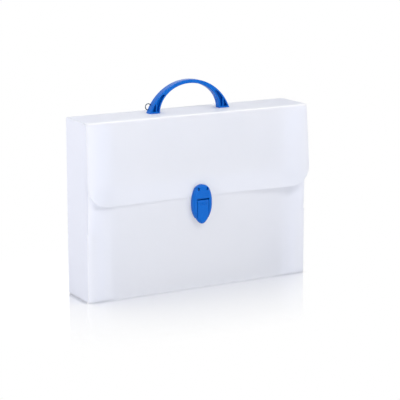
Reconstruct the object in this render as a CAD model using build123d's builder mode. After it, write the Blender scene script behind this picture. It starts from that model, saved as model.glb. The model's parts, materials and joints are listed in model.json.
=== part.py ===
from build123d import *
import os
from math import acos, degrees

# A carry case for papers, folded from creased polypropylene sheet, with a moulded
# handle on its top and a lever lock that holds its front flap. All sizes are in
# millimetres. X runs along the case, Y from the front to the back, and Z up. The
# origin is the middle of the face that the case stands on.

os.makedirs("parts", exist_ok=True)

# Driving sizes of the sheet and the box
sheet = 1.2
bend = 2.0
case_width = 380.0
case_height = 270.0
base_front = -35.2
case_back = 36.0
flap_front = -37.8
front_panel_top = 172.5
panel_half = 187.0
glued_half = 189.2
step_round = 1.0
panel_corner = 8.0
lip = 6.0
hinge_gap = 3.0

# Driving sizes of the side gussets and their glue
return_edge = 149.0
glue = 0.2
glue_width = 12.0
corner_radius = 5.0
gusset_top = 267.2
free_edge_bottom = 104.0

# Driving sizes of the flap
flap_bottom = 143.8
flap_corner = 32.0
flap_flat_half = 20.0
flap_rise_left = 4.0
flap_rise_right = 13.0

# Driving sizes of the handle, whose outside is one arc and whose inside is half an ellipse
handle_width = 12.0
handle_arc = 74.5
handle_top = 317.4
grip_half = 51.4
grip_rise = 41.7
grip_level = 270.2
flange = 2.4
web = 2.0
foot_sole = 2.6
pocket_top = 297.5
tongue_x = 60.5
tongue_length = 8.4
tongue_width = 6.0
neck_width = 3.4

# Driving sizes of the ring that hangs on the left foot
ring_x = -67.0
ring_y = 3.5
ring_z = 279.8
ring_middle = 4.65
ring_wire = 0.75

# Driving sizes of the lock
lock_depth = 8.2
lock_top = 162.2
head_bottom = 141.2
channel_half = 10.4
lever_half = 9.4
pin_radius = 0.8
knuckle = 2.3
post_x, post_z = 8.0, 152.5
post_radius = 2.0
backing = 1.0
keeper_post_x, keeper_post_z = 5.5, 127.8
keeper_hole = 1.5

half = case_width / 2
panel_inside = case_height - sheet
lock_front = flap_front - lock_depth
pin_y = lock_front + knuckle
pin_z = 136.6


# The wrap: front, base and back panels, which stay still. The front panel is cut narrower
# where its edges stand free of the gussets.

front_line = base_front + sheet / 2
back_line = case_back - sheet / 2

with BuildPart() as front_panel:
    with BuildSketch(Plane.YZ):
        with BuildLine():
            FilletPolyline(
                (base_front + lip, sheet / 2),
                (front_line, sheet / 2),
                (front_line, front_panel_top),
                radius=bend,
            )
        trace(line_width=sheet)
    extrude(amount=glued_half, both=True)
    with BuildSketch(Plane.XZ.offset(-base_front)):
        for x in (-glued_half, glued_half):
            with Locations((x, front_panel_top)):
                Rectangle(2 * (glued_half - panel_half), 2 * (front_panel_top - free_edge_bottom))
    extrude(amount=-sheet, mode=Mode.SUBTRACT)
    upper_corners = front_panel.edges().filter_by(Axis.Y).group_by(Axis.Z)[-1]
    fillet(upper_corners, radius=panel_corner)
    steps = front_panel.edges().filter_by(Axis.Y).filter_by_position(
        Axis.Z, free_edge_bottom - sheet, free_edge_bottom + sheet,
    )
    fillet(steps, radius=step_round)
    with Locations(Plane.XZ.offset(-base_front)):
        with Locations((-keeper_post_x, keeper_post_z), (keeper_post_x, keeper_post_z)):
            Hole(radius=keeper_hole)
front_panel.part.label = "front_panel"
export_step(front_panel.part, "parts/front_panel.step")

base_middle = (case_back + base_front) / 2
crease_level = case_height - sheet / 2 - bend

with BuildPart() as base_panel:
    with BuildSketch(Plane.XY):
        with Locations((0, base_middle)):
            Rectangle(2 * panel_half, case_back - base_front - 2 * lip)
    extrude(amount=sheet)
base_panel.part.label = "base_panel"
export_step(base_panel.part, "parts/base_panel.step")

with BuildPart() as back_panel:
    with BuildSketch(Plane.YZ):
        with BuildLine():
            FilletPolyline(
                (case_back - lip, sheet / 2),
                (back_line, sheet / 2),
                (back_line, crease_level),
                radius=bend,
            )
        trace(line_width=sheet)
    extrude(amount=panel_half, both=True)
back_panel.part.label = "back_panel"
export_step(back_panel.part, "parts/back_panel.step")


# The creases, which bend as living hinges between the panels

top_line = case_height - sheet / 2
flap_line = flap_front + sheet / 2

with BuildPart() as rear_crease:
    with BuildSketch(Plane.YZ):
        with BuildLine():
            Line((back_line - bend - hinge_gap, top_line), (back_line - bend, top_line))
            JernArc(start=(back_line - bend, top_line), tangent=(1, 0), radius=bend, arc_size=-90)
        trace(line_width=sheet)
    extrude(amount=panel_half, both=True)
rear_crease.part.label = "rear_crease"
export_step(rear_crease.part, "parts/rear_crease.step")

with BuildPart() as front_crease:
    with BuildSketch(Plane.YZ):
        with BuildLine():
            Line((flap_line + bend + hinge_gap, top_line), (flap_line + bend, top_line))
            JernArc(start=(flap_line + bend, top_line), tangent=(-1, 0), radius=bend, arc_size=90)
        trace(line_width=sheet)
    extrude(amount=half, both=True)
front_crease.part.label = "front_crease"
export_step(front_crease.part, "parts/front_crease.step")


# The top panel, which lifts on the rear crease and carries the handle

top_front = flap_line + bend + hinge_gap
top_back = back_line - bend - hinge_gap
slot_play = 0.2

with BuildPart() as top_panel:
    with BuildSketch(Plane.XY.offset(panel_inside)):
        with Locations((0, (top_front + top_back) / 2)):
            Rectangle(case_width, top_back - top_front)
        with Locations((-tongue_x, 0), (tongue_x, 0)):
            Rectangle(tongue_length + slot_play, tongue_width + slot_play, mode=Mode.SUBTRACT)
    extrude(amount=sheet)
top_panel.part.label = "top_panel"
export_step(top_panel.part, "parts/top_panel.step")


# The flap, which hangs from the front crease and stands off the case at its lower corners

flap_back = flap_front + sheet


def flap_section(rise_left, rise_right):
    """A strip of sheet seen from above: flat at the lock, bowed outwards to each side."""
    bow_left = (half + flap_flat_half) / 2
    with BuildSketch() as strip:
        with BuildLine():
            for line in (flap_front, flap_back):
                Bezier((-half, line - rise_left), (-bow_left, line), (-flap_flat_half, line))
                Line((-flap_flat_half, line), (flap_flat_half, line))
                Bezier((flap_flat_half, line), (bow_left, line), (half, line - rise_right))
            Line((-half, flap_front - rise_left), (-half, flap_back - rise_left))
            Line((half, flap_front - rise_right), (half, flap_back - rise_right))
        make_face()
    return strip.sketch


flap_deep = flap_bottom - 1
flap_reach = flap_front - flap_rise_right - sheet

with BuildPart() as front_flap:
    with BuildSketch(Plane.XY.offset(crease_level)):
        add(flap_section(0, 0))
    with BuildSketch(Plane.XY.offset(flap_deep)):
        add(flap_section(flap_rise_left, flap_rise_right))
    loft(ruled=True)
    with BuildSketch(Plane.XZ.offset(-flap_back - sheet)) as flap_outline:
        with Locations((0, (crease_level + flap_bottom) / 2)):
            Rectangle(case_width, crease_level - flap_bottom)
        fillet(flap_outline.vertices().group_by(Axis.Y)[0], radius=flap_corner)
    extrude(amount=flap_back - flap_reach + 2 * sheet, mode=Mode.INTERSECT)
    with Locations(Plane.XZ.offset(-flap_front)):
        with Locations((-post_x, post_z), (post_x, post_z)):
            Hole(radius=post_radius + slot_play)
front_flap.part.label = "front_flap"
export_step(front_flap.part, "parts/front_flap.step")


# The side gussets: side wall, a return behind the front and the back panel, and a base tab

gusset_front = base_front + sheet + glue
gusset_back = case_back - sheet - glue
gusset_bottom = sheet + glue
tab_relief = 2.0
relief_depth = sheet + 0.6
return_corner = 6.0

with BuildPart() as side_gusset_left:
    with BuildSketch(Plane.XY.offset(gusset_bottom)):
        with Locations((-(half + return_edge) / 2, (gusset_front + gusset_back) / 2)):
            Rectangle(half - return_edge, gusset_back - gusset_front)
    extrude(amount=gusset_top - gusset_bottom)
    fillet(side_gusset_left.edges().filter_by(Axis.Z).group_by(Axis.X)[0], radius=corner_radius)
    bottom_edges = side_gusset_left.faces().sort_by(Axis.Z)[0].edges()
    fillet(bottom_edges.filter_by(Axis.Y).sort_by(Axis.X)[0], radius=bend + sheet / 2)
    open_faces = [
        side_gusset_left.faces().sort_by(Axis.X)[-1],
        side_gusset_left.faces().sort_by(Axis.Z)[-1],
    ]
    offset(amount=-sheet, openings=open_faces)
    for wall in (gusset_front + sheet / 2, gusset_back - sheet / 2):
        with BuildSketch(Plane.XY.offset(gusset_bottom)):
            with Locations((-(half - corner_radius + return_edge) / 2, wall)):
                Rectangle(half - corner_radius - return_edge, relief_depth)
        extrude(amount=tab_relief, mode=Mode.SUBTRACT)
    return_corners = side_gusset_left.edges().filter_by(Axis.Y).group_by(Axis.X)[-1]
    fillet(return_corners.group_by(Axis.Z)[-1], radius=return_corner)
side_gusset_left.part.label = "side_gusset_left"
export_step(side_gusset_left.part, "parts/side_gusset_left.step")

with BuildPart() as side_gusset_right:
    mirror(side_gusset_left.part, about=Plane.YZ)
side_gusset_right.part.label = "side_gusset_right"
export_step(side_gusset_right.part, "parts/side_gusset_right.step")


# The glue strips that hold the gussets to the panels. The strip beside each front corner
# stops half way up, so the edge of the front panel stands free above it.

strip_margin = 2.0
inner_strip_x = return_edge + strip_margin + glue_width / 2
corner_strip_x = half - corner_radius - glue_width / 2
strip_foot = 6.0
tab_strip = gusset_back - gusset_front - 4 * strip_margin
glue_sides = {"left": -1, "right": 1}
glue_walls = {
    "front": (-base_front - sheet, front_panel_top - strip_foot, free_edge_bottom),
    "back": (-case_back + sheet + glue, gusset_top - strip_foot, gusset_top - strip_foot),
}

for side, direction in glue_sides.items():
    for wall, (depth, inner_top, corner_top) in glue_walls.items():
        with BuildPart() as glue_strip:
            with BuildSketch(Plane.XZ.offset(depth)):
                for x, top in ((inner_strip_x, inner_top), (corner_strip_x, corner_top)):
                    with Locations((direction * x, (strip_foot + top) / 2)):
                        Rectangle(glue_width, top - strip_foot)
            extrude(amount=-glue)
        glue_strip.part.label = f"glue_strip_{wall}_{side}"
        export_step(glue_strip.part, f"parts/{glue_strip.part.label}.step")
    with BuildPart() as glue_strip:
        with BuildSketch(Plane.XY.offset(sheet)):
            with Locations((direction * inner_strip_x, base_middle)):
                Rectangle(glue_width, tab_strip)
        extrude(amount=glue)
    glue_strip.part.label = f"glue_strip_base_{side}"
    export_step(glue_strip.part, f"parts/{glue_strip.part.label}.step")


# The handle: an arch with pockets in its legs and a tongue under each foot

arc_level = handle_top - handle_arc
beyond = 80.0
edge_round = 1.0
ring_play = 0.3
rib_inner = 57.0
rib_width = 1.6
rib_top = 285.5
neck_bottom = panel_inside - 2.2
tongue_bottom = 262.5
tongue_lead = 1.2

with BuildPart() as handle:
    with BuildSketch(Plane.XZ):
        with Locations((0, arc_level)):
            Circle(handle_arc)
        with Locations((0, grip_level)):
            Ellipse(grip_half, grip_rise, mode=Mode.SUBTRACT)
        with Locations((0, grip_level - beyond)):
            Rectangle(2 * grip_half, 2 * beyond, mode=Mode.SUBTRACT)
        with Locations((0, case_height + beyond)):
            Rectangle(4 * beyond, 2 * beyond, mode=Mode.INTERSECT)
    extrude(amount=handle_width / 2, both=True)
    arch_edges = handle.edges().filter_by(lambda edge: edge.length > grip_half)
    fillet(arch_edges, radius=edge_round)
    for face_y in (-handle_width / 2, handle_width / 2):
        inward = 1 if face_y > 0 else -1
        with BuildSketch(Plane.XZ.offset(-face_y)):
            with Locations((0, arc_level)):
                Circle(handle_arc - flange)
            with Locations((0, grip_level)):
                Ellipse(grip_half + flange, grip_rise + flange, mode=Mode.SUBTRACT)
            with Locations((0, grip_level - beyond)):
                Rectangle(2 * (grip_half + flange), 2 * beyond, mode=Mode.SUBTRACT)
            with Locations((0, (case_height + foot_sole + pocket_top) / 2)):
                Rectangle(4 * beyond, pocket_top - case_height - foot_sole, mode=Mode.INTERSECT)
            for x in (-rib_inner - rib_width / 2, rib_inner + rib_width / 2):
                with Locations((x, (case_height + rib_top) / 2)):
                    Rectangle(rib_width, rib_top - case_height, mode=Mode.SUBTRACT)
        extrude(amount=inward * (handle_width - web) / 2, mode=Mode.SUBTRACT)
    for x in (-tongue_x, tongue_x):
        with BuildSketch(Plane.XY.offset(tongue_bottom)):
            with Locations((x, 0)):
                Rectangle(tongue_length, tongue_width)
        extrude(amount=case_height - tongue_bottom)
        with BuildSketch(Plane.XY.offset(neck_bottom)):
            for y in (-1, 1):
                with Locations((x, y * (tongue_width + neck_width) / 4)):
                    Rectangle(tongue_length, (tongue_width - neck_width) / 2)
        extrude(amount=panel_inside - neck_bottom, mode=Mode.SUBTRACT)
    tongue_tips = handle.edges().filter_by(Axis.X).group_by(Axis.Z)[0]
    chamfer(tongue_tips, length=tongue_lead)
    with Locations((ring_x, ring_y, ring_z)):
        Torus(ring_middle, ring_wire + ring_play, rotation=(90, 0, 0), mode=Mode.SUBTRACT)
handle.part.label = "handle"
export_step(handle.part, "parts/handle.step")

plate_inner = 44.5
plate_outer = 68.0
plate_width = 16.0
plate_thick = 2.0
plate_play = 0.1
plate_corner = 2.0
key_play = 0.4
key_shift = 9.6

for side, direction in glue_sides.items():
    with BuildPart() as handle_retainer:
        with BuildSketch(Plane.XY.offset(panel_inside - plate_play)):
            with Locations((direction * (plate_inner + plate_outer) / 2, 0)):
                RectangleRounded(plate_outer - plate_inner, plate_width, plate_corner)
            with Locations((direction * (tongue_x - key_shift), 0)):
                Rectangle(tongue_length + key_play, tongue_width + key_play, mode=Mode.SUBTRACT)
            with Locations((direction * (tongue_x - key_shift / 2), 0)):
                Rectangle(
                    tongue_length + key_shift + key_play,
                    neck_width + key_play,
                    mode=Mode.SUBTRACT,
                )
        extrude(amount=-plate_thick)
    handle_retainer.part.label = f"handle_retainer_{side}"
    export_step(handle_retainer.part, f"parts/{handle_retainer.part.label}.step")


# The wire ring on the left foot, with the small gap that it was threaded through

ring_gap = 0.3

with BuildPart() as tag_ring:
    with Locations((ring_x, ring_y, ring_z)):
        Torus(ring_middle, ring_wire, rotation=(90, 0, 0))
    with Locations((ring_x - ring_middle, ring_y, ring_z)):
        Box(4 * ring_wire, 4 * ring_wire, ring_gap, mode=Mode.SUBTRACT)
tag_ring.part.label = "tag_ring"
export_step(tag_ring.part, "parts/tag_ring.step")


# The outline that the lock body and its lever share: an egg that narrows to the tip

crown_radius, crown_turn = 14.0, 65.0
side_radius = 44.0
side_straight = 4.1
cheek_radius = 37.5
tip_radius = 7.0


def egg(inset=0.0):
    """The lock's outline, drawn from its crown round one side to its tip, then mirrored."""
    with BuildSketch() as outline:
        with BuildLine():
            crown = JernArc((0, lock_top), (1, 0), crown_radius, -crown_turn)
            side = JernArc(crown @ 1, crown % 1, side_radius, crown_turn - 90)
            straight = Line(side @ 1, side @ 1 + Vector(0, -side_straight))
            half_width = (straight @ 1).X
            taper = degrees(acos((cheek_radius - half_width) / (cheek_radius - tip_radius)))
            cheek = JernArc(straight @ 1, (0, -1), cheek_radius, -taper)
            tip = JernArc(cheek @ 1, cheek % 1, tip_radius, taper - 90)
            Line(tip @ 1, (0, lock_top))
        make_face()
        mirror(about=Plane.YZ)
        if inset:
            offset(amount=-inset)
    return outline.sketch


# The lock body, a frame on the flap with a channel for the lever

lock_bevel = 2.6
below_tip = 100.0
head_wall = 2.0
head_hollow, head_middle = (19.0, 12.0), 150.5
post_reach = sheet + 0.9
bridge_z, bridge_height, bridge_thick = 116.0, 3.0, 1.5
pin_half = 12.6
notch_x, notch_z = 7.4, 156.0
notch_size, notch_depth = (2.6, 4.4), 3.0

with BuildPart() as lock_body:
    with BuildSketch(Plane.XZ.offset(-flap_front)):
        add(egg())
    extrude(amount=lock_depth)
    chamfer(lock_body.faces().sort_by(Axis.Y)[0].edges(), length=lock_bevel)
    with BuildSketch(Plane.XZ.offset(-flap_front)):
        with Locations((0, (head_bottom + below_tip) / 2)):
            Rectangle(2 * channel_half, head_bottom - below_tip)
    extrude(amount=lock_depth, mode=Mode.SUBTRACT)
    with BuildSketch(Plane.XZ.offset(-flap_front)):
        with Locations((0, head_middle)):
            Rectangle(*head_hollow)
    extrude(amount=lock_depth - head_wall, mode=Mode.SUBTRACT)
    with BuildSketch(Plane.XZ.offset(-flap_front - post_reach)):
        with Locations((-post_x, post_z), (post_x, post_z)):
            Circle(post_radius)
    extrude(amount=lock_depth + post_reach - head_wall / 2)
    with BuildSketch(Plane.XZ.offset(-flap_front)):
        with Locations((0, bridge_z)):
            Rectangle(2 * channel_half + head_wall, bridge_height)
    extrude(amount=bridge_thick)
    with BuildSketch(Plane.XZ.offset(-lock_front)):
        with Locations((-notch_x, notch_z), (notch_x, notch_z)):
            Rectangle(*notch_size)
    extrude(amount=-notch_depth, mode=Mode.SUBTRACT)
    with BuildSketch(Plane.YZ):
        with Locations((pin_y, pin_z)):
            Circle(pin_radius)
    extrude(amount=pin_half, both=True, mode=Mode.SUBTRACT)
lock_body.part.label = "lock_body"
export_step(lock_body.part, "parts/lock_body.step")

with BuildPart() as lock_hinge_pin:
    with BuildSketch(Plane.YZ):
        with Locations((pin_y, pin_z)):
            Circle(pin_radius)
    extrude(amount=pin_half, both=True)
lock_hinge_pin.part.label = "lock_hinge_pin"
export_step(lock_hinge_pin.part, "parts/lock_hinge_pin.step")

post_play = 0.05
backing_size, backing_round = (24.0, 13.0), 3.0

with BuildPart() as lock_backing_plate:
    with BuildSketch(Plane.XZ.offset(-flap_back)):
        with Locations((0, post_z)):
            RectangleRounded(*backing_size, backing_round)
        with Locations((-post_x, post_z), (post_x, post_z)):
            Circle(post_radius + post_play, mode=Mode.SUBTRACT)
    extrude(amount=-backing)
lock_backing_plate.part.label = "lock_backing_plate"
export_step(lock_backing_plate.part, "parts/lock_backing_plate.step")


# The lock lever: a shell that fills the lower end of the egg, with a hook behind its hinge

lever_back = -40.0
lever_wall = 1.6
lever_face = 2.2
cavity_top = 133.0
hook_half = 5.0
arm_bottom, arm_top = 133.6, 135.6
nose_front, nose_back = -39.1, -38.0
nose_top = 138.2
pin_play = 0.05
groove_pitch, groove_width, groove_length, groove_depth = 3.6, 0.8, 4.0, 0.6
dimple_radius, dimple_depth, dimple_z = 12.0, 0.6, 111.0

with BuildPart() as lock_lever:
    with BuildSketch(Plane.XZ.offset(-lever_back)):
        add(egg())
    extrude(amount=lever_back - lock_front)
    chamfer(lock_lever.faces().sort_by(Axis.Y)[0].edges(), length=lock_bevel)
    with BuildSketch(Plane.XZ.offset(-lever_back)):
        with Locations((0, (cavity_top + below_tip) / 2)):
            Rectangle(2 * lever_half, cavity_top - below_tip)
    extrude(amount=lever_back - lock_front, mode=Mode.INTERSECT)
    with BuildSketch(Plane.XZ.offset(-lever_back)):
        add(egg(inset=lever_wall))
        with Locations((0, (cavity_top + below_tip) / 2)):
            Rectangle(
                2 * (lever_half - lever_wall),
                cavity_top - below_tip,
                mode=Mode.INTERSECT,
            )
    extrude(amount=lever_back - lock_front - lever_face, mode=Mode.SUBTRACT)
    with BuildSketch(Plane.XZ.offset(-lock_front - lever_face)):
        with Locations((0, (cavity_top + pin_z) / 2)):
            Rectangle(2 * lever_half, pin_z - cavity_top)
    extrude(amount=lever_face)
    with BuildSketch(Plane.YZ):
        with Locations((pin_y, pin_z)):
            Circle(knuckle)
    extrude(amount=lever_half, both=True)
    with BuildSketch(Plane.YZ):
        with BuildLine():
            Polyline(
                (pin_y, arm_bottom),
                (nose_back, arm_bottom),
                (nose_back, nose_top),
                (nose_front, nose_top),
                (nose_front, arm_top),
                (pin_y, arm_top),
                close=True,
            )
        make_face()
    extrude(amount=hook_half, both=True)
    with BuildSketch(Plane.XZ.offset(-lock_front)):
        with GridLocations(groove_pitch, 0, 4, 1):
            with Locations((0, cavity_top)):
                Rectangle(groove_width, groove_length)
    extrude(amount=-groove_depth, mode=Mode.SUBTRACT)
    with Locations((0, lock_front - dimple_radius + dimple_depth, dimple_z)):
        Sphere(dimple_radius, mode=Mode.SUBTRACT)
    with BuildSketch(Plane.YZ):
        with Locations((pin_y, pin_z)):
            Circle(pin_radius + pin_play)
    extrude(amount=lever_half, both=True, mode=Mode.SUBTRACT)
lock_lever.part.label = "lock_lever"
export_step(lock_lever.part, "parts/lock_lever.step")


# The keeper on the front panel: a bar between two cheeks, which the hook's nose rises behind

keeper_face = base_front - sheet
plate_size, plate_middle, plate_round = (17.0, 15.4), 132.0, 2.0
bar_front, bar_back = -40.9, -39.5
bar_bottom, bar_top = 136.9, 139.4
cheek_inner, cheek_outer, cheek_bottom = 5.8, 7.4, 132.0
keeper_post_radius = 1.45

with BuildPart() as keeper:
    with BuildSketch(Plane.XZ.offset(-base_front)):
        with Locations((0, plate_middle)):
            RectangleRounded(*plate_size, plate_round)
    extrude(amount=sheet)
    with BuildSketch(Plane.YZ.offset(-cheek_outer)):
        with Locations(((keeper_face + bar_front) / 2, (cheek_bottom + bar_top) / 2)):
            Rectangle(keeper_face - bar_front, bar_top - cheek_bottom)
    extrude(amount=2 * cheek_outer)
    with BuildSketch(Plane.YZ.offset(-cheek_inner)):
        with Locations(((keeper_face + bar_back) / 2, (cheek_bottom + bar_top) / 2)):
            Rectangle(keeper_face - bar_back, bar_top - cheek_bottom)
        with Locations(((keeper_face + bar_front) / 2, (cheek_bottom + bar_bottom) / 2)):
            Rectangle(keeper_face - bar_front, bar_bottom - cheek_bottom)
    extrude(amount=2 * cheek_inner, mode=Mode.SUBTRACT)
    with BuildSketch(Plane.XZ.offset(-base_front - sheet - backing)):
        with Locations((-keeper_post_x, keeper_post_z), (keeper_post_x, keeper_post_z)):
            Circle(keeper_post_radius)
    extrude(amount=sheet + backing)
keeper.part.label = "keeper"
export_step(keeper.part, "parts/keeper.step")

with BuildPart() as keeper_backing_plate:
    with BuildSketch(Plane.XZ.offset(-base_front - sheet)):
        with Locations((0, plate_middle)):
            RectangleRounded(*plate_size, plate_round)
        with Locations((-keeper_post_x, keeper_post_z), (keeper_post_x, keeper_post_z)):
            Circle(keeper_hole, mode=Mode.SUBTRACT)
    extrude(amount=-backing)
keeper_backing_plate.part.label = "keeper_backing_plate"
export_step(keeper_backing_plate.part, "parts/keeper_backing_plate.step")
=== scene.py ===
# %% [markdown]
# A frosted carry case
#
# This notebook dresses the CAD model of a folded plastic carry case. The box is an envelope
# of frosted sheet that lets some light through, and the handle and the lock are blue
# mouldings. The CAD pieces stay where they are. The lesson gives them their materials,
# remakes the sheets that bend, and sets up a small white studio to look at them in.

# %% Load the frame
import json
import math

import bmesh
import bpy
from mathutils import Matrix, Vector


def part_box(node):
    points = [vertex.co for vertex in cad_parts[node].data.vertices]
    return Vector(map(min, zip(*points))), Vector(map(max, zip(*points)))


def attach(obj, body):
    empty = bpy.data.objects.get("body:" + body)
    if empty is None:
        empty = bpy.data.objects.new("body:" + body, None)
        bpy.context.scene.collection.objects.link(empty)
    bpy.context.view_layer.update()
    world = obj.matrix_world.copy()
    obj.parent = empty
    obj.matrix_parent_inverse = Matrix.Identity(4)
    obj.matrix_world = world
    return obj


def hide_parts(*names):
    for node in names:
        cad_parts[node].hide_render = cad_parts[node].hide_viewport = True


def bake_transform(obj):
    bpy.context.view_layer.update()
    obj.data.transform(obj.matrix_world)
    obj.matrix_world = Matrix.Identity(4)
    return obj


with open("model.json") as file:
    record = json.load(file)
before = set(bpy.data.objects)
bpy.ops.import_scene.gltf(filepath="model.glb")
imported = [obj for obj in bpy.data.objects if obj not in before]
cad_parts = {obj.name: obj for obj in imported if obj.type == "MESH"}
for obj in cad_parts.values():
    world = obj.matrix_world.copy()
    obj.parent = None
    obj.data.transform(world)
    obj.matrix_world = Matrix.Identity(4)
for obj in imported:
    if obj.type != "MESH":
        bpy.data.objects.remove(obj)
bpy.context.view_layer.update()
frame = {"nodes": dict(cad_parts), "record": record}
nodes = frame["nodes"]
MM = 0.001

# %% [markdown]
# The camera
#
# The photograph was taken from the front left and a little above, with a long lens. A long
# lens keeps upright edges nearly parallel. The camera is placed by what it looks at, how
# far away it stands and its two angles, which is easier to read than a bare position.

# %% Place the camera
LOOK_AT = Vector((15.06, -9.70, 130.61)) * MM
CAMERA_DISTANCE = 2564 * MM
CAMERA_YAW = math.radians(29.77)
CAMERA_PITCH = math.radians(12.13)
LENS = 150.4
SENSOR = 36.0

view_line = Vector((
    math.sin(CAMERA_YAW) * math.cos(CAMERA_PITCH),
    math.cos(CAMERA_YAW) * math.cos(CAMERA_PITCH),
    -math.sin(CAMERA_PITCH),
))
camera_data = bpy.data.cameras.new("camera")
camera_data.lens = LENS
camera_data.sensor_width = SENSOR
camera = bpy.data.objects.new("camera", camera_data)
camera.location = LOOK_AT - CAMERA_DISTANCE * view_line
camera.rotation_euler = (math.pi / 2 - CAMERA_PITCH, 0, -CAMERA_YAW)
bpy.context.scene.collection.objects.link(camera)
bpy.context.scene.camera = camera
print("camera at", [round(v, 3) for v in camera.location])

# %% [markdown]
# Two helpers for node trees
#
# Colours are written as hex values, as a paint chart gives them, and Blender's shaders work
# in linear light, so one function turns the one into the other. The other helper adds any
# kind of node, sets what is a value and links what is a socket, which keeps each material
# short enough to read in one go.

# %% Colour and node helpers
def linear(code, alpha=1.0):
    """A hex colour such as #E8ECF4 as linear red, green, blue and alpha."""
    shares = [int(code[i:i + 2], 16) / 255 for i in (1, 3, 5)]
    toe, slope, offset, power = 0.04045, 12.92, 0.055, 2.4
    light = [c / slope if c <= toe else ((c + offset) / (1 + offset)) ** power for c in shares]
    return (*light, alpha)


def add_node(tree, kind, inputs=None, **settings):
    """Adds a node of this kind, sets or links its inputs, and returns it."""
    node = tree.nodes.new(kind)
    for name, value in settings.items():
        setattr(node, name, value)
    for name, value in (inputs or {}).items():
        if isinstance(value, bpy.types.NodeSocket):
            tree.links.new(value, node.inputs[name])
        else:
            node.inputs[name].default_value = value
    return node


def new_material(name):
    """An empty material, its node tree, and its object coordinates in metres."""
    material = bpy.data.materials.new(name)
    material.use_nodes = True
    material.node_tree.nodes.clear()
    place = add_node(material.node_tree, "ShaderNodeTexCoord").outputs["Object"]
    return material, material.node_tree, place


def finish_material(tree, shader):
    """Sends a shader to the surface output."""
    add_node(tree, "ShaderNodeOutputMaterial", {"Surface": shader})


print("white is", linear("#FFFFFF"))

# %% [markdown]
# Frosted polypropylene sheet
#
# The real sheet is extruded polypropylene, rolled between matt rollers. It scatters light
# both back to the viewer and through to the far side, and only a little passes straight
# through. Glass with a high roughness could make it, but it blocks lamps and is noisy. A
# Principled shader for the light that comes back, mixed with a Translucent shader for the
# light that comes through, is quick, and what lies close behind the sheet shows sharper
# than what lies far behind it, as it does on the real one. A fine grain from the rollers
# and slow clouds from the sheet's thickness keep it from looking like flat paint. Each
# sheet is a closed solid, so only the face that light enters by scatters it, and the face
# that it leaves by is clear.

# %% Write the sheet's recipe
PP_IOR = 1.49
SHEET_SHEEN = 0.36  # the usual level is 0.5
ROLLER_GRAIN = 0.9 * MM  # the real grain is near 0.1 mm, drawn coarser so that it shows
GRAIN_DEPTH = 0.05 * MM
GRAIN_STRENGTH = 0.06
ROUGHNESS_SPREAD = 0.05
CLOUDS = 90 * MM


def frosted_polypropylene(name, pale, deep, through=0.60, clear=0.05, roughness=0.42):
    """Matt sheet in two tints, with the shares of light that scatter through or pass clear."""
    material, tree, place = new_material(name)
    clouds = add_node(
        tree, "ShaderNodeTexNoise",
        {"Vector": place, "Scale": 1 / CLOUDS, "Detail": 2.0},
    )
    tint = add_node(
        tree, "ShaderNodeMix",
        {"Factor": clouds.outputs["Fac"], "A": linear(pale), "B": linear(deep)},
        data_type="RGBA",
    )
    grain = add_node(
        tree, "ShaderNodeTexNoise",
        {"Vector": place, "Scale": 1 / ROLLER_GRAIN, "Detail": 1.0},
    )
    bump = add_node(
        tree, "ShaderNodeBump",
        {"Height": grain.outputs["Fac"], "Strength": GRAIN_STRENGTH, "Distance": GRAIN_DEPTH},
    )
    matt = add_node(
        tree, "ShaderNodeMapRange",
        {
            "Value": grain.outputs["Fac"],
            "To Min": roughness - ROUGHNESS_SPREAD,
            "To Max": roughness + ROUGHNESS_SPREAD,
        },
    )
    tint_colour = tint.outputs["Result"]
    front = add_node(
        tree, "ShaderNodeBsdfPrincipled",
        {
            "Base Color": tint_colour,
            "Roughness": matt.outputs["Result"],
            "IOR": PP_IOR,
            "Specular IOR Level": SHEET_SHEEN,
            "Normal": bump.outputs["Normal"],
        },
    )
    glow = add_node(tree, "ShaderNodeBsdfTranslucent", {"Color": tint_colour})
    scatter = add_node(
        tree, "ShaderNodeMixShader",
        {0: through, 1: front.outputs["BSDF"], 2: glow.outputs["BSDF"]},
    )
    straight = add_node(tree, "ShaderNodeBsdfTransparent")
    outside = add_node(
        tree, "ShaderNodeMixShader",
        {0: clear, 1: scatter.outputs["Shader"], 2: straight.outputs["BSDF"]},
    )
    side = add_node(tree, "ShaderNodeNewGeometry").outputs["Backfacing"]
    sheet = add_node(
        tree, "ShaderNodeMixShader",
        {0: side, 1: outside.outputs["Shader"], 2: straight.outputs["BSDF"]},
    )
    finish_material(tree, sheet.outputs["Shader"])
    return material


print("the sheet's grain is drawn", ROLLER_GRAIN, "m wide")

# %% [markdown]
# Four finishes of the sheet
#
# One recipe makes every finish of the sheet, because it is all one plastic. The ends are a
# little bluer than the panels and let less light through, which is painted light: it gives
# them the lighter, bluer look that the light gives the ends. A cut edge and a scored fold
# are whiter and let the least through, partly their real whitening and partly a painted
# highlight along them.

# %% Make the sheet's finishes
sheet_finish = frosted_polypropylene("frosted_polypropylene_sheet", "#FBFCFF", "#F8FAFD")
# Painted light: the ends are a bluer copy of the sheet that lets less light through, so they show
# lighter.
gusset_painted_light = frosted_polypropylene(
    "frosted_polypropylene_gusset_painted_light", "#F8FAFF", "#F6F8FF", through=0.40,
)
# The cut edge: partly its real whitening, partly a painted highlight along it.
edge_whitening_and_highlight = frosted_polypropylene(
    "cut_polypropylene_edge_and_highlight", "#FFFFFF", "#FCFDFF", through=0.25, clear=0.0, roughness=0.3,
)
# The fold: partly the real whitening of the scored sheet, partly a painted highlight along the
# crease.
fold_whitening_and_highlight = frosted_polypropylene(
    "whitened_polypropylene_fold_and_highlight", "#FFFFFF", "#FCFDFF", through=0.35, roughness=0.3,
)
print("made", sheet_finish.name, gusset_painted_light.name, edge_whitening_and_highlight.name, fold_whitening_and_highlight.name)

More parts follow.
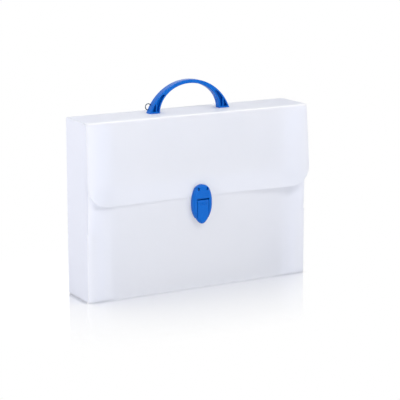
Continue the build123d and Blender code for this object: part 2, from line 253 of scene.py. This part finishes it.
# %% [markdown]
# Blue moulded polypropylene
#
# The handle and the lock are injection moulded in a polished mould, so they are glossy, with
# a faint ripple where the plastic flowed and set. A Principled shader does most of it, and a
# little Translucent is mixed in for the depth of the plastic. Subsurface scattering could
# give that depth too, but it takes longer to render. The bump is slow and shallow, because
# the ripple only shows in the reflections.

# %% Make the moulding's material
FLOW_RIPPLE = 9 * MM
RIPPLE_DEPTH = 0.3 * MM
RIPPLE_STRENGTH = 0.12
BLUE_SHEEN = 0.20  # the usual level is 0.5
MOULD_GRAIN = 0.8 * MM
POLISH_BELOW = 0.06
POLISH_ABOVE = 0.08


def moulded_polypropylene(name, bright, dark, roughness=0.24, through=0.12):
    """Glossy injection moulded plastic with flow ripples and a slightly uneven gloss."""
    material, tree, place = new_material(name)
    flow = add_node(
        tree, "ShaderNodeTexNoise",
        {"Vector": place, "Scale": 1 / FLOW_RIPPLE, "Detail": 2.0},
    )
    tint = add_node(
        tree, "ShaderNodeMix",
        {"Factor": flow.outputs["Fac"], "A": linear(bright), "B": linear(dark)},
        data_type="RGBA",
    )
    grain = add_node(
        tree, "ShaderNodeTexNoise",
        {"Vector": place, "Scale": 1 / MOULD_GRAIN, "Detail": 2.0},
    )
    gloss = add_node(
        tree, "ShaderNodeMapRange",
        {
            "Value": grain.outputs["Fac"],
            "To Min": roughness - POLISH_BELOW,
            "To Max": roughness + POLISH_ABOVE,
        },
    )
    ripple = add_node(
        tree, "ShaderNodeBump",
        {"Height": flow.outputs["Fac"], "Strength": RIPPLE_STRENGTH, "Distance": RIPPLE_DEPTH},
    )
    plastic = add_node(
        tree, "ShaderNodeBsdfPrincipled",
        {
            "Base Color": tint.outputs["Result"],
            "Roughness": gloss.outputs["Result"],
            "IOR": PP_IOR,
            "Specular IOR Level": BLUE_SHEEN,
            "Normal": ripple.outputs["Normal"],
        },
    )
    depth = add_node(tree, "ShaderNodeBsdfTranslucent", {"Color": tint.outputs["Result"]})
    body = add_node(
        tree, "ShaderNodeMixShader",
        {0: through, 1: plastic.outputs["BSDF"], 2: depth.outputs["BSDF"]},
    )
    finish_material(tree, body.outputs["Shader"])
    return material


blue_finish = moulded_polypropylene("blue_moulded_polypropylene", "#0270D4", "#0263C6")
print("made", blue_finish.name)

# %% [markdown]
# Steel wire
#
# The tag ring is drawn steel wire with a nickel plating. The lock's pin is the same wire,
# drawn near black as painted shade in the lock's hinge. A fine noise in the roughness is the
# wear from handling. Bump is left out, because the wire is too thin for dents to show.

# %% Make the wire's material
WEAR_GRAIN = 0.8 * MM
WIRE_BRIGHT = 0.16
WIRE_DULL = 0.34


def drawn_wire(name, tone):
    """Drawn steel wire of this tone, a little dulled by handling."""
    material, tree, place = new_material(name)
    wear = add_node(
        tree, "ShaderNodeTexNoise",
        {"Vector": place, "Scale": 1 / WEAR_GRAIN, "Detail": 3.0},
    )
    dull = add_node(
        tree, "ShaderNodeMapRange",
        {"Value": wear.outputs["Fac"], "To Min": WIRE_BRIGHT, "To Max": WIRE_DULL},
    )
    metal = add_node(
        tree, "ShaderNodeBsdfPrincipled",
        {"Base Color": linear(tone), "Metallic": 1.0, "Roughness": dull.outputs["Result"]},
    )
    finish_material(tree, metal.outputs["BSDF"])
    return material


wire_finish = drawn_wire("nickel_plated_wire", "#5A666F")
# The pin is drawn near black as painted shade in the lock's hinge.
pin_painted_shade = drawn_wire("steel_pin_painted_shade", "#23282D")
print("made", wire_finish.name, pin_painted_shade.name)

# %% [markdown]
# Hot-melt adhesive
#
# A thin film of adhesive holds each gusset to the panels. Where it wets both sheets the
# matt surface is filled, so less light is lost there and the strip looks a shade lighter.
# It uses the sheet's own recipe, a little clearer.

# %% Make the adhesive's material
glue_finish = frosted_polypropylene(
    "hot_melt_adhesive_film", "#FFFFFF", "#FCFDFF", through=0.35, clear=0.10, roughness=0.3,
)
print("made", glue_finish.name)

# %% [markdown]
# Dress the CAD nodes
#
# A CAD node arrives with one material slot, and its finish is changed by putting another
# material in that slot. The record says which slot each node takes, so the choice is read
# from it. Three nodes take another finish than their slot gives.

# %% Put a finish on every CAD node
FINISH_OF_SLOT = {
    "frosted_sheet": sheet_finish,
    "blue_moulding": blue_finish,
    "steel_wire": wire_finish,
    "clear_adhesive": glue_finish,
}
FINISH_OF_NODE = {
    # the ends take the sheet's copy with painted lighter, bluer light
    "side_gusset_left": gusset_painted_light,
    "side_gusset_right": gusset_painted_light,
    # the lock's pin takes a near black steel as painted shade
    "lock_hinge_pin": pin_painted_shade,
}
for part in frame["record"]["subparts"]:
    finish = FINISH_OF_NODE.get(part["node"], FINISH_OF_SLOT[part["material_slot"]])
    mesh = nodes[part["node"]].data
    mesh.materials.clear()
    mesh.materials.append(finish)

# %% [markdown]
# Four small helpers for shapes
#
# The pieces that this lesson makes itself are lists of corners and faces. One helper links
# such a mesh to the scene, one turns its faces outwards, one shades them flat, and one
# gives the width of a sheet whose corners are round. Geometry Nodes could draw the sheets
# from the same rules. Lists are used here, so that each formula stands next to its piece.

# %% Write the shape helpers
def mesh_piece(name, verts, faces, finish):
    """A mesh object with smooth faces and one finish, linked to the scene."""
    mesh = bpy.data.meshes.new(name)
    mesh.from_pydata(verts, [], faces)
    mesh.polygons.foreach_set("use_smooth", [True] * len(mesh.polygons))
    mesh.materials.append(finish)
    piece = bpy.data.objects.new(name, mesh)
    bpy.context.scene.collection.objects.link(piece)
    return piece


def outward_normals(piece):
    """Turns every face of a closed mesh outwards."""
    shape = bmesh.new()
    shape.from_mesh(piece.data)
    bmesh.ops.recalc_face_normals(shape, faces=shape.faces)
    shape.to_mesh(piece.data)
    shape.free()


def flat_faces(piece):
    """Shades every face of a mesh flat."""
    piece.data.polygons.foreach_set("use_smooth", [False] * len(piece.data.polygons))


def round_corner(half, radius, above):
    """Half a sheet's width at this height above the end where its corners are round."""
    if above >= radius:
        return half
    return half - radius + math.sqrt(max(0.0, radius ** 2 - (radius - above) ** 2))


print("a half width of 1 with corners of 0.2 ends at", round_corner(1.0, 0.2, 0.0))

# %% [markdown]
# A builder for curved sheets
#
# The flap and the front panel are springy sheets that stand off their flat place near their
# free corners. In the CAD model they have few facets. A Subdivision Surface would smooth
# those, but it would pull the outline in as well. Here each is a fine grid, so that its
# highlights run smoothly: one function gives how far the sheet stands off, another gives
# half its width, drawn in where a corner is round. A Solidify modifier gives the sheet its
# thickness, with the whiter cut edge finish on its rim, partly real whitening and partly a
# painted highlight, and a Bevel takes the sharpness off that edge.

# %% Build a curved sheet
SHEET = 1.2 * MM
SHEET_COLUMNS = 120
EDGE_ROUND = 0.2 * MM
EDGE_ROUND_STEPS = 2


def curved_sheet(name, line, half_width, stand_off):
    """A sheet whose middle follows a line of (y, z), widened and bent by two functions."""
    verts = []
    for y, z in line:
        for column in range(SHEET_COLUMNS + 1):
            x = half_width(z) * (2 * column / SHEET_COLUMNS - 1)
            verts.append((x, y - stand_off(x, z), z))
    faces = []
    for row in range(len(line) - 1):
        for column in range(SHEET_COLUMNS):
            corner = row * (SHEET_COLUMNS + 1) + column
            above = corner + SHEET_COLUMNS + 1
            faces.append((corner, corner + 1, above + 1, above))
    piece = mesh_piece(name, verts, faces, sheet_finish)
    # The rim takes the whiter cut edge finish, partly real whitening and partly a painted highlight.
    piece.data.materials.append(edge_whitening_and_highlight)
    thickness = piece.modifiers.new("thickness", "SOLIDIFY")
    thickness.thickness = SHEET
    thickness.offset = 0
    thickness.material_offset_rim = 1
    edge_round = piece.modifiers.new("edge_round", "BEVEL")
    edge_round.width = EDGE_ROUND
    edge_round.segments = EDGE_ROUND_STEPS
    edge_round.limit_method = "ANGLE"
    return piece


print("a sheet has", SHEET_COLUMNS, "columns")

# %% [markdown]
# The flap
#
# The flap curls away from the box towards its two lower corners, more at the right. It
# stands off by the square of the distance from its flat middle, growing from nothing at the
# crease to its most at the lower edge. The rows are closer together at the bottom, where
# the corners are round. A tenth of a millimetre is trimmed off its left and right edges,
# so that the thickness of the curled sheet stays inside the CAD box.

# %% Build the flap
FLAP_FLAT_HALF = 20 * MM
FLAP_CORNER = 32 * MM
FLAP_RISE_LEFT = 4 * MM
FLAP_RISE_RIGHT = 13 * MM
FLAP_RULE_BOTTOM = 142.8 * MM  # the height at which the curl is whole
FLAP_ROWS = 60
FLAP_TRIM = 0.1 * MM

flap_low, flap_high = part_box("front_flap")
flap_half = flap_high.x - FLAP_TRIM
flap_line = flap_high.y - SHEET / 2


def flap_stand_off(x, z):
    """How far the flap's middle line stands off its flat plane at this place."""
    rise = FLAP_RISE_RIGHT if x > 0 else FLAP_RISE_LEFT
    reach = max(0.0, abs(x) - FLAP_FLAT_HALF) / (flap_half - FLAP_FLAT_HALF)
    drop = (flap_high.z - z) / (flap_high.z - FLAP_RULE_BOTTOM)
    return rise * reach ** 2 * drop


flap_heights = [
    flap_low.z + (flap_high.z - flap_low.z) * (row / FLAP_ROWS) ** 2
    for row in range(FLAP_ROWS + 1)
]
flap_sheet = curved_sheet(
    "flap_sheet",
    [(flap_line, z) for z in flap_heights],
    lambda z: round_corner(flap_half, FLAP_CORNER, z - flap_low.z),
    flap_stand_off,
)
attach(flap_sheet, "flap")
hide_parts("front_flap")
print("the flap stands off by", FLAP_RISE_LEFT, "and", FLAP_RISE_RIGHT)

# %% [markdown]
# The front panel
#
# The front panel is one sheet with the bend at the foot of the case. Glue holds its ends up
# to a certain height. Above that it is cut a little narrower, and its two free corners
# spring outwards, which leaves the dark slits beside the front corners. The rows are
# closer together at the step in its width and at its round upper corners.

# %% Write the rules of the panel's shape
PANEL_CORNER = 8 * MM
PANEL_BEND = 2.0 * MM
PANEL_FREE_FROM = 104 * MM
PANEL_SPRING_LEFT = 3.0 * MM
PANEL_SPRING_RIGHT = 3.0 * MM
PANEL_SPRING_WIDTH = 22 * MM
PANEL_FREE_HALF = 187.8 * MM
PANEL_STEP = 2 * MM
PANEL_STEP_ROWS = 8
PANEL_ROWS = 60
PANEL_BEND_STEPS = 8

panel_low, panel_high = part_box("front_panel")
glued_half = panel_high.x
panel_line = panel_low.y + SHEET / 2


def panel_stand_off(x, z):
    """How far a free corner of the front panel springs off its flat plane."""
    spring = PANEL_SPRING_RIGHT if x > 0 else PANEL_SPRING_LEFT
    reach = max(0.0, abs(x) - PANEL_FREE_HALF + PANEL_SPRING_WIDTH) / PANEL_SPRING_WIDTH
    rise = max(0.0, z - PANEL_FREE_FROM) / (panel_high.z - PANEL_FREE_FROM)
    return spring * reach ** 2 * math.sqrt(rise)


def panel_half_width(z):
    """Half the front panel's width: wide where it is glued, narrower and round above."""
    share = min(1.0, max(0.0, (z - PANEL_FREE_FROM) / PANEL_STEP + 0.5))
    share = share ** 2 * (3 - 2 * share)
    free = round_corner(PANEL_FREE_HALF, PANEL_CORNER, panel_high.z - z)
    return glued_half + (free - glued_half) * share


print("the front panel is", 2 * glued_half, "m wide at its foot")

# %% [markdown]
# The panel's section
#
# The section runs from the base round the bend at the foot and up to the upper edge. The
# bend is a quarter turn, worked out from an angle, and the rows above it follow from the
# squares of a steady count, which draws them together at the top.

# %% Build the front panel
panel_foot = panel_low.z + SHEET / 2
panel_section = [(panel_high.y, panel_foot)]
for step in range(PANEL_BEND_STEPS + 1):
    turn = math.pi / 2 * step / PANEL_BEND_STEPS
    panel_section.append((
        panel_line + PANEL_BEND * (1 - math.sin(turn)),
        panel_foot + PANEL_BEND * (1 - math.cos(turn)),
    ))
panel_start = panel_section[-1][1]
panel_heights = [
    panel_start + (panel_high.z - panel_start) * (1 - (1 - row / PANEL_ROWS) ** 2)
    for row in range(1, PANEL_ROWS + 1)
]
panel_heights += [
    PANEL_FREE_FROM + PANEL_STEP * (row / PANEL_STEP_ROWS - 0.5)
    for row in range(PANEL_STEP_ROWS + 1)
]
panel_section += [(panel_line, z) for z in sorted(panel_heights)]
front_sheet = curved_sheet(
    "front_sheet",
    panel_section,
    panel_half_width,
    panel_stand_off,
)
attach(front_sheet, "case")
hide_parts("front_panel")
print("the front panel has", len(panel_section), "rows")

# %% [markdown]
# The upper rims of the ends
#
# The CAD ends stop below the top panel to leave room for it to turn. On the real case they
# reach up to it. A rim closes that gap. It starts behind the front crease, which needs the
# room when the flap swings up, and follows the wall round the back corner, where its upper
# edge dips under the rear crease.

# %% Write the path of a rim
RIM_CLEARANCE = 0.2 * MM
RIM_START = 7.0 * MM
RIM_CORNER = 5.0 * MM
RIM_CORNER_STEPS = 8
RIM_RETURN = 10 * MM
RIM_SIDE_STEPS = 8
FOLD_INSIDE = 1.4 * MM
FOLD_MIDDLE = 2.6 * MM

top_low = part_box("top_panel")[0]
back_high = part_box("back_panel")[1]


def rim_ceiling(y):
    """The height of the sheet above a rim, lower where the rear crease bends."""
    from_back = back_high.y - y
    if from_back >= FOLD_MIDDLE:
        return top_low.z - RIM_CLEARANCE
    rise = math.sqrt(max(0.0, FOLD_INSIDE ** 2 - (FOLD_MIDDLE - from_back) ** 2))
    return top_low.z - FOLD_INSIDE + rise - RIM_CLEARANCE


def rim_path(low, high):
    """Points and outward directions of the left end's wall, from front to back."""
    inset = RIM_CORNER - SHEET / 2
    start = panel_low.y + RIM_START
    side = high.y - RIM_CORNER - start
    path = [
        (Vector((low.x + SHEET / 2, start + side * step / RIM_SIDE_STEPS)), Vector((-1, 0)))
        for step in range(RIM_SIDE_STEPS)
    ]
    for step in range(RIM_CORNER_STEPS + 1):
        turn = math.pi / 2 * step / RIM_CORNER_STEPS
        out = Vector((-math.cos(turn), math.sin(turn)))
        path.append((Vector((low.x + RIM_CORNER, high.y - RIM_CORNER)) + inset * out, out))
    path.append((Vector((low.x + RIM_RETURN, high.y - SHEET / 2)), Vector((0, 1))))
    return path


print("a rim may reach up to", round(rim_ceiling(panel_low.y), 5))

# %% [markdown]
# Two rims from one path
#
# Each rim is a closed strip, four corners at each point of the path. The right one is the
# left one with its x turned round, which turns its faces inside out as well, so both have
# their normals recalculated.

# %% Build the rims
def end_rim(name, side):
    """A rim on the upper edge of an end: side is -1 at the left and 1 at the right."""
    low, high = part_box("side_gusset_left")
    verts = []
    for point, out in rim_path(low, high):
        ceiling = rim_ceiling(point.y)
        for offset, z in ((0.5, high.z), (0.5, ceiling), (-0.5, ceiling), (-0.5, high.z)):
            place = point + out * SHEET * offset
            verts.append((-side * place.x, place.y, z))
    faces = []
    for row in range(len(verts) // 4 - 1):
        for i in range(4):
            j = (i + 1) % 4
            faces.append((row * 4 + i, row * 4 + j, row * 4 + 4 + j, row * 4 + 4 + i))
    faces.append((0, 1, 2, 3))
    faces.append(tuple(len(verts) - 4 + i for i in range(4)))
    # The rims take the ends' finish, with its painted lighter, bluer light.
    piece = mesh_piece(name, verts, faces, gusset_painted_light)
    outward_normals(piece)
    flat_faces(piece)
    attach(piece, "case")


end_rim("end_rim_left", -1)
end_rim("end_rim_right", 1)
print("two rims up to", round(top_low.z - RIM_CLEARANCE, 5))

# %% [markdown]
# The two living hinges
#
# The sheet is scored where it folds, and the fold bends as the case opens. Each hinge is a
# strip of sheet whose section is a flat part and a quarter turn, drawn from end to end.

# %% Write the section of a crease
BEND = 2.0 * MM
HINGE_GAP = 3.0 * MM
TURN_STEPS = 10
FLAT_STEPS = 3
CREASE_COLUMNS = 60


def crease_line(turn_y, turn_z, towards):
    """Points and outward directions along the middle of a crease, from its upright end."""
    line = []
    for step in range(TURN_STEPS + 1):
        angle = math.pi / 2 * step / TURN_STEPS
        out = Vector((-towards * math.cos(angle), math.sin(angle)))
        line.append((Vector((turn_y, turn_z)) + BEND * out, out))
    for step in range(1, FLAT_STEPS + 1):
        along = towards * HINGE_GAP * step / FLAT_STEPS
        line.append((Vector((turn_y + along, turn_z + BEND)), Vector((0, 1))))
    return line


print("a crease's section has", TURN_STEPS + FLAT_STEPS + 1, "points along its middle")

# %% [markdown]
# A hinge from its section
#
# The section is a ring of points, once out along its outer side and back along its inner
# one. It is repeated in columns across the case, and the two ends are closed.

# %% Build a crease
def crease_piece(name, node, towards):
    """A closed bent strip that fills the space of a CAD crease."""
    low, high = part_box(node)
    outer = low.y if towards > 0 else high.y
    turn_y = outer + towards * (BEND + SHEET / 2)
    line = crease_line(turn_y, high.z - SHEET / 2 - BEND, towards)
    ring = [point + out * SHEET / 2 for point, out in line]
    ring += [point - out * SHEET / 2 for point, out in reversed(line)]
    verts = []
    for column in range(CREASE_COLUMNS + 1):
        x = low.x + (high.x - low.x) * column / CREASE_COLUMNS
        verts += [(x, point.x, point.y) for point in ring]
    count = len(ring)
    faces = []
    for column in range(CREASE_COLUMNS):
        for i in range(count):
            j = (i + 1) % count
            faces.append((
                column * count + i,
                column * count + j,
                (column + 1) * count + j,
                (column + 1) * count + i,
            ))
    steps = len(line)
    for base in (0, CREASE_COLUMNS * count):
        for i in range(steps - 1):
            faces.append((base + i, base + i + 1, base + count - 2 - i, base + count - 1 - i))
    # The hinge takes the whiter fold finish, partly real whitening and partly a painted highlight.
    piece = mesh_piece(name, verts, faces, fold_whitening_and_highlight)
    outward_normals(piece)
    return piece


print("a crease has", CREASE_COLUMNS, "columns")

# %% [markdown]
# Hinges that ride on neither body
#
# A hinge joins two bodies, so it can't ride on one.

# %% Put the hinges in place
rear_hinge = crease_piece("rear_living_hinge", "rear_crease", towards=-1)
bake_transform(rear_hinge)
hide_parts("rear_crease")

front_hinge = crease_piece("front_living_hinge", "front_crease", towards=1)
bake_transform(front_hinge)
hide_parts("front_crease")
print("two living hinges")

# %% [markdown]
# Two webs behind the lock's hinge
#
# No white sheet shows through the slot above the lever of the real lock. What closes it
# isn't seen, so this is a guess: two small webs at the ends of the slot, beside the lever's
# hook and behind its knuckle, out of the way of both. They are plain blocks, because only
# a strip of each shows.

# %% Build the webs
WEB_INNER = 5.6 * MM
WEB_OUTER = 10.3 * MM
WEB_BACK = -38.6 * MM
WEB_FRONT = -40.9 * MM
WEB_LOW = 136.8 * MM
WEB_HIGH = 141.0 * MM

web_verts = []
web_faces = []
for side in (-1, 1):
    first = len(web_verts)
    for y in (WEB_FRONT, WEB_BACK):
        for x, z in (
            (WEB_INNER, WEB_LOW), (WEB_OUTER, WEB_LOW), (WEB_OUTER, WEB_HIGH), (WEB_INNER, WEB_HIGH),
        ):
            web_verts.append((side * x, y, z))
    web_faces += [tuple(first + i for i in face) for face in (
        (0, 1, 2, 3), (4, 7, 6, 5), (0, 4, 5, 1), (1, 5, 6, 2), (2, 6, 7, 3), (3, 7, 4, 0),
    )]
webs = mesh_piece("lock_webs", web_verts, web_faces, blue_finish)
outward_normals(webs)
flat_faces(webs)
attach(webs, "flap")
print("two webs in the lock")

# %% [markdown]
# The table
#
# A product photographer stands such a case on a polished white table. To the camera the
# table is plain white. Near the case it keeps a mirror image, whose fade away from the case
# is painted, and a painted shadow, a thin dark line where the case stands. Ambient occlusion
# gives both their reach. A plain glossy table could give the mirror image, but that would be
# as tall as the case itself.

# %% Mix the table's look
TABLE_SIZE = 12.0
TABLE_MIRROR = 0.95
MIRROR_ROUGHNESS = 0.12
MIRROR_REACH = 250 * MM
CONTACT_REACH = 10 * MM
# how dark the painted contact shadow is at the case's foot
CONTACT_SHADOW_LEVEL = 0.85
WALL_FOOT = 0.5  # the open share of the sky at the foot of a wall
OCCLUSION_SAMPLES = 16

table_finish, tree = new_material("polished_white_table")[:2]
paint = add_node(tree, "ShaderNodeBsdfDiffuse", {"Color": linear("#F2F2F3")})
plain = add_node(tree, "ShaderNodeEmission", {"Color": linear("#FFFFFF"), "Strength": 1.0})
touch = add_node(
    tree, "ShaderNodeAmbientOcclusion",
    {"Distance": CONTACT_REACH},
    samples=OCCLUSION_SAMPLES,
)
# Painted contact shadow: the reflection is darkened where the case meets the table.
painted_contact_shadow = add_node(
    tree, "ShaderNodeMapRange",
    {
        "Value": touch.outputs["AO"],
        "From Min": WALL_FOOT,
        "To Min": CONTACT_SHADOW_LEVEL,
        "To Max": 1.0,
    },
)
shine = add_node(
    tree, "ShaderNodeBsdfGlossy",
    {"Color": painted_contact_shadow.outputs["Result"], "Roughness": MIRROR_ROUGHNESS},
)
near = add_node(
    tree, "ShaderNodeAmbientOcclusion",
    {"Distance": MIRROR_REACH},
    samples=OCCLUSION_SAMPLES,
)
# The mirror's share is painted from occlusion, so the reflection fades away from the case.
mirror = add_node(
    tree, "ShaderNodeMapRange",
    {
        "Value": near.outputs["AO"],
        "From Min": WALL_FOOT,
        "To Min": TABLE_MIRROR,
        "To Max": 0.0,
    },
)
polished = add_node(
    tree, "ShaderNodeMixShader",
    {0: mirror.outputs["Result"], 1: plain.outputs["Emission"], 2: shine.outputs["BSDF"]},
)
rays = add_node(tree, "ShaderNodeLightPath")
table_look = add_node(
    tree, "ShaderNodeMixShader",
    {0: rays.outputs["Is Camera Ray"], 1: paint.outputs["BSDF"], 2: polished.outputs["Shader"]},
)
finish_material(tree, table_look.outputs["Shader"])
print("made", table_finish.name)

# %% [markdown]
# The table's top
#
# The table is one flat face, far wider than the case, so that its edges stay out of view.

# %% Lay the table
table_verts = [
    (-TABLE_SIZE / 2, -TABLE_SIZE / 2, 0),
    (TABLE_SIZE / 2, -TABLE_SIZE / 2, 0),
    (TABLE_SIZE / 2, TABLE_SIZE / 2, 0),
    (-TABLE_SIZE / 2, TABLE_SIZE / 2, 0),
]
table = mesh_piece("table", table_verts, [(0, 1, 2, 3)], table_finish)
print("the table is", TABLE_SIZE, "m wide")

# %% [markdown]
# The white room
#
# The world is flat white. Seen by the camera or in a reflection it has a strength of 1,
# which is white, and all other light from it is weaker, so that pale plastic keeps its
# shade against a white background. The Light Path node tells these rays apart.

# %% Make the room
WORLD_LIGHT = 0.405
world = bpy.data.worlds.new("white_room")
world.use_nodes = True
world.node_tree.nodes.clear()
bpy.context.scene.world = world
rays = add_node(world.node_tree, "ShaderNodeLightPath")
seen = add_node(
    world.node_tree, "ShaderNodeMath",
    {0: rays.outputs["Is Camera Ray"], 1: rays.outputs["Is Glossy Ray"]},
    operation="MAXIMUM",
)
strength = add_node(
    world.node_tree, "ShaderNodeMapRange",
    {"Value": seen.outputs["Value"], "To Min": WORLD_LIGHT, "To Max": 1.0},
)
room = add_node(
    world.node_tree, "ShaderNodeBackground",
    {"Color": linear("#FFFFFF"), "Strength": strength.outputs["Result"]},
)
add_node(world.node_tree, "ShaderNodeOutputWorld", {"Surface": room.outputs["Background"]})
print("the room lights the case with", WORLD_LIGHT)

# %% [markdown]
# The lamps
#
# Seven soft boxes stand round the case. They are wide, so that their shadows are soft. The
# strongest hangs above and in front. Two stand at the left and light the left end, with a
# white that is a little blue. The others are weak, and fill the sides that these leave
# dark. A brighter world could fill them too, but it would fill all of them alike.

# %% Hang the lamps
AIM = (0, 0, 0.13)
FRONT_WHITE = "#FCFBFF"
LEFT_WHITE = "#FAF9FF"
PLAIN_WHITE = "#FFFFFF"
LAMPS = [
    ("top_front_box", (0.4, -1.6, 2.0), (0.9, 0.9), 30.0, FRONT_WHITE),
    ("left_back_box", (-2.2, 0.9, 1.1), (1.4, 1.4), 18.2, LEFT_WHITE),
    ("left_front_box", (-2.2, -0.6, 1.2), (1.4, 1.4), 11.8, LEFT_WHITE),
    ("right_front_box", (1.6, -2.0, 1.2), (1.0, 1.0), 5.6, FRONT_WHITE),
    ("right_box", (2.2, 0.2, 1.0), (1.4, 1.4), 2.0, PLAIN_WHITE),
    ("low_front_box", (-0.9, -2.4, 0.4), (1.6, 0.5), 5.2, FRONT_WHITE),
    ("back_box", (0.6, 2.6, 1.4), (1.6, 1.6), 3.0, PLAIN_WHITE),
]


def soft_lamp(name, place, size, power, colour):
    """A rectangular soft box of this size in metres and power in watts, aimed at the case."""
    lamp = bpy.data.lights.new(name, "AREA")
    lamp.shape = "RECTANGLE"
    lamp.size, lamp.size_y = size
    lamp.energy = power
    lamp.color = linear(colour)[:3]
    holder = bpy.data.objects.new(name, lamp)
    holder.location = place
    holder.rotation_euler = (Vector(AIM) - Vector(place)).to_track_quat("-Z", "Y").to_euler()
    bpy.context.scene.collection.objects.link(holder)


for lamp_row in LAMPS:
    soft_lamp(*lamp_row)
print("hung", len(LAMPS), "soft boxes")

# %% [markdown]
# Finish
#
# The view transform is Standard, so a colour renders about as it is written.

# %% Set the view transform
bpy.context.scene.view_settings.view_transform = "Standard"
